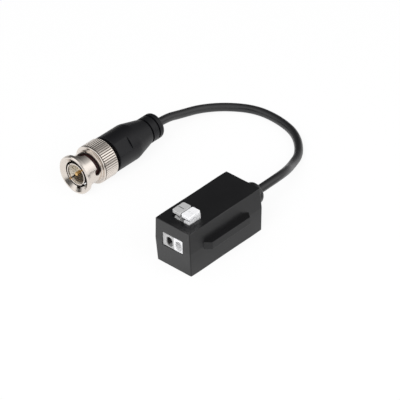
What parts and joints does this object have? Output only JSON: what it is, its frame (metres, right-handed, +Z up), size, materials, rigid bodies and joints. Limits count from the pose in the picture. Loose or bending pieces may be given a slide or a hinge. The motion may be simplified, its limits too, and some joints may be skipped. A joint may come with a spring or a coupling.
{
  "type": "video balun with coax pigtail",
  "caption": "Small black housing with a lever wire terminal in front and a short coax lead to a bayonet plug; sends camera video over a twisted pair.",
  "frame": {"origin": "middle of the housing's flat underside", "axes": "+Y from the terminal's face to the lead's bushing, +X to the side with the stacking rail, +Z up"},
  "size_m": [0.0732, 0.0873, 0.0206],
  "materials": {
    "housing": "fine moulded texture, black",
    "terminal_grey": "smooth moulded, light grey",
    "terminal_white": "smooth moulded, white",
    "contact": "stamped strip",
    "spring": "spring strip",
    "board": "solder mask green",
    "ferrite": "sintered dark grey",
    "copper": "bare copper",
    "component": "moulded epoxy",
    "can": "drawn can",
    "jacket": "soft moulded, black",
    "nickel": "bright nickel plate",
    "gasket": "dark red silicone",
    "insulator": "cream, smooth",
    "gold": "gold plate"
  },
  "bodies": {
    "root": {"upper_case": "housing", "lower_case": "housing", "terminal_grey": "terminal_grey", "terminal_white": "terminal_white", "contact_grey": "contact", "contact_white": "contact", "clamp_spring_grey": "spring", "clamp_spring_white": "spring", "circuit_board": "board", "ferrite_core": "ferrite", "winding_primary": "copper", "winding_secondary": "copper", "line_resistor_front": "component", "line_resistor_rear": "component", "blocking_capacitor": "can", "surge_diode": "component", "core_wire": "copper", "shield_wire": "copper", "lead_bushing": "housing", "lead": "jacket", "boot": "jacket", "plug_body": "nickel", "crimp_ferrule": "nickel", "gasket": "gasket", "spring_washer": "spring", "insulator": "insulator", "centre_pin": "gold"},
    "coupling": {"coupling_nut": "nickel"},
    "lever_grey": {"lever_grey": "terminal_grey"},
    "lever_white": {"lever_white": "terminal_white"}
  },
  "joints": [
    {"name": "coupling_turn", "type": "hinge", "parent": "root", "child": "coupling", "pos_m": [-0.0557, -0.0082, 0.0072], "axis": [0, 1, 0], "continuous": true},
    {"name": "grey_lever_press", "type": "hinge", "parent": "root", "child": "lever_grey", "pos_m": [-0.00148, -0.00905, 0.01799], "axis": [1, 0, 0], "range_deg": [0, 16], "stiffness_Nm_per_rad": 0.05},
    {"name": "white_lever_press", "type": "hinge", "parent": "root", "child": "lever_white", "pos_m": [0.00262, -0.00905, 0.01799], "axis": [1, 0, 0], "range_deg": [0, 16], "stiffness_Nm_per_rad": 0.05}
  ]
}
